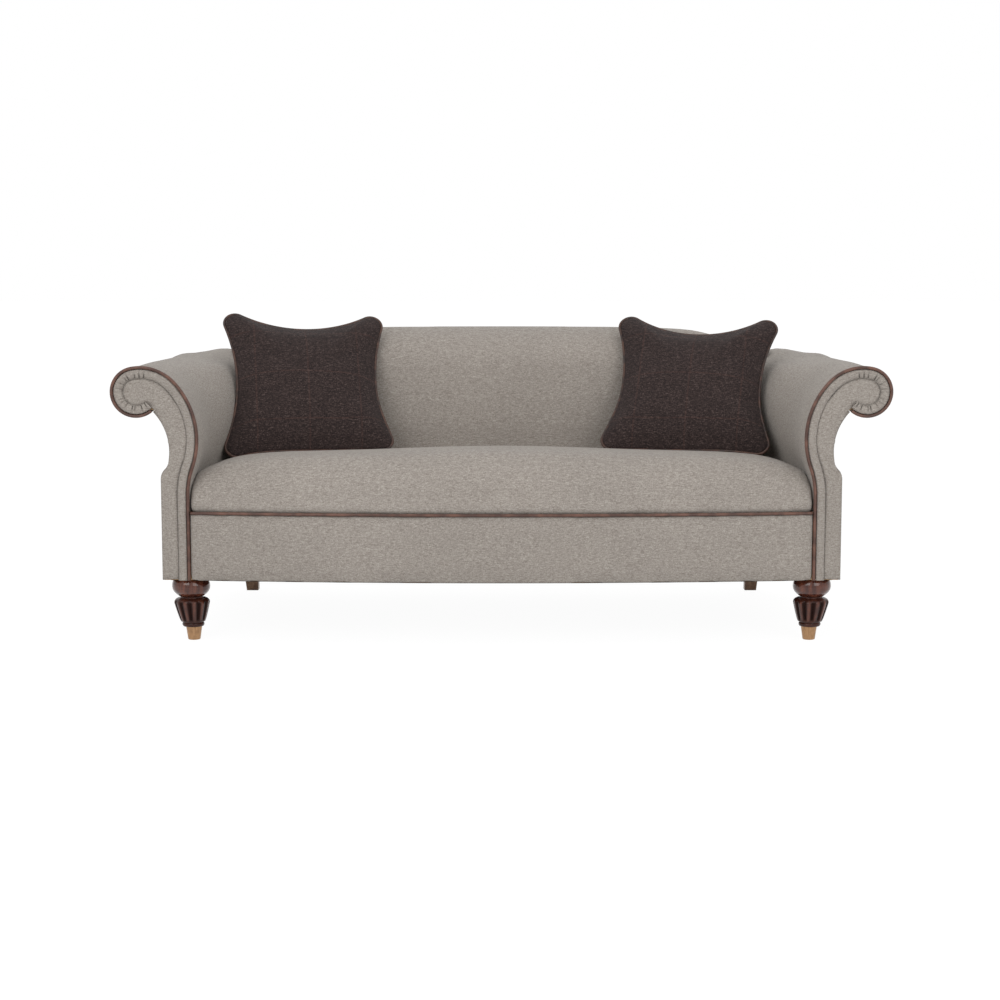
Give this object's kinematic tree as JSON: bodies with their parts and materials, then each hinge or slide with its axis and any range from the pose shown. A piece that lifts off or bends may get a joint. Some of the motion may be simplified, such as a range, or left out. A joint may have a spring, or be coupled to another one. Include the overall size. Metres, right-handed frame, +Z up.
{
  "type": "sofa",
  "caption": "Scroll-arm sofa with a tight sprung seat, a tight back, piped and gathered arm facings, turned reeded front legs and loose scatter cushions.",
  "frame": {"origin": "on the floor under the middle of the sofa", "axes": "+X along the sofa to the viewer's right, -Y to the front, +Z up"},
  "size_m": [1.957, 0.9213, 0.8127],
  "materials": {
    "tweed": "woven wool tweed, taupe grey with pale and brown flecks",
    "dark_tweed": "woven wool tweed, dark brown with a faint overcheck",
    "leather_trim": "brown leather over a piping cord",
    "mahogany": "dark polished mahogany",
    "beech": "planed beech, unfinished",
    "brass_ferrule": "satin antique brass",
    "steel": "bright steel",
    "hessian": "coarse jute hessian",
    "webbing": "elastic webbing",
    "under_cloth": "black cambric",
    "feather_ticking": "white cotton ticking"
  },
  "bodies": {
    "sofa": {"front_seat_rail": "beech", "back_seat_rail": "beech", "seat_centre_bearer": "beech", "corner_blocks": "beech", "frame_dowels": "beech", "back_top_rail": "beech", "back_tacking_rail": "beech", "left_side_rail": "beech", "right_side_rail": "beech", "left_arm_front_post": "beech", "right_arm_front_post": "beech", "left_arm_rear_post": "beech", "right_arm_rear_post": "beech", "left_arm_roll_rail": "beech", "right_arm_roll_rail": "beech", "left_arm_tacking_rail": "beech", "right_arm_tacking_rail": "beech", "left_back_post": "beech", "right_back_post": "beech", "left_back_upright": "beech", "right_back_upright": "beech", "block_screws": "steel", "leg_bolts": "steel", "seat_springs": "steel", "spring_clips": "steel", "seat_hessian": "hessian", "back_webbing": "webbing", "left_arm_webbing": "webbing", "right_arm_webbing": "webbing", "seat_pad": "tweed", "front_border": "tweed", "back_pad": "tweed", "outside_back": "tweed", "left_arm_pad": "tweed", "right_arm_pad": "tweed", "left_outside_arm": "tweed", "right_outside_arm": "tweed", "left_facing_panel": "tweed", "right_facing_panel": "tweed", "left_facing_border": "tweed", "right_facing_border": "tweed", "seat_piping": "leather_trim", "left_arm_piping": "leather_trim", "right_arm_piping": "leather_trim", "dust_cover": "under_cloth", "left_front_leg": "mahogany", "right_front_leg": "mahogany", "left_rear_leg": "mahogany", "right_rear_leg": "mahogany", "left_front_ferrule": "brass_ferrule", "right_front_ferrule": "brass_ferrule"},
    "left_cushion": {"left_cushion_front": "dark_tweed", "left_cushion_back": "dark_tweed", "left_cushion_pad": "feather_ticking", "left_cushion_piping": "leather_trim"},
    "right_cushion": {"right_cushion_front": "dark_tweed", "right_cushion_back": "dark_tweed", "right_cushion_pad": "feather_ticking", "right_cushion_piping": "leather_trim"}
  },
  "joints": [
    {"name": "left_cushion_lift", "type": "slide", "parent": "sofa", "child": "left_cushion", "axis": [0, 0, 1], "range_m": [0, 0.4]},
    {"name": "right_cushion_lift", "type": "slide", "parent": "sofa", "child": "right_cushion", "axis": [0, 0, 1], "range_m": [0, 0.4]}
  ]
}
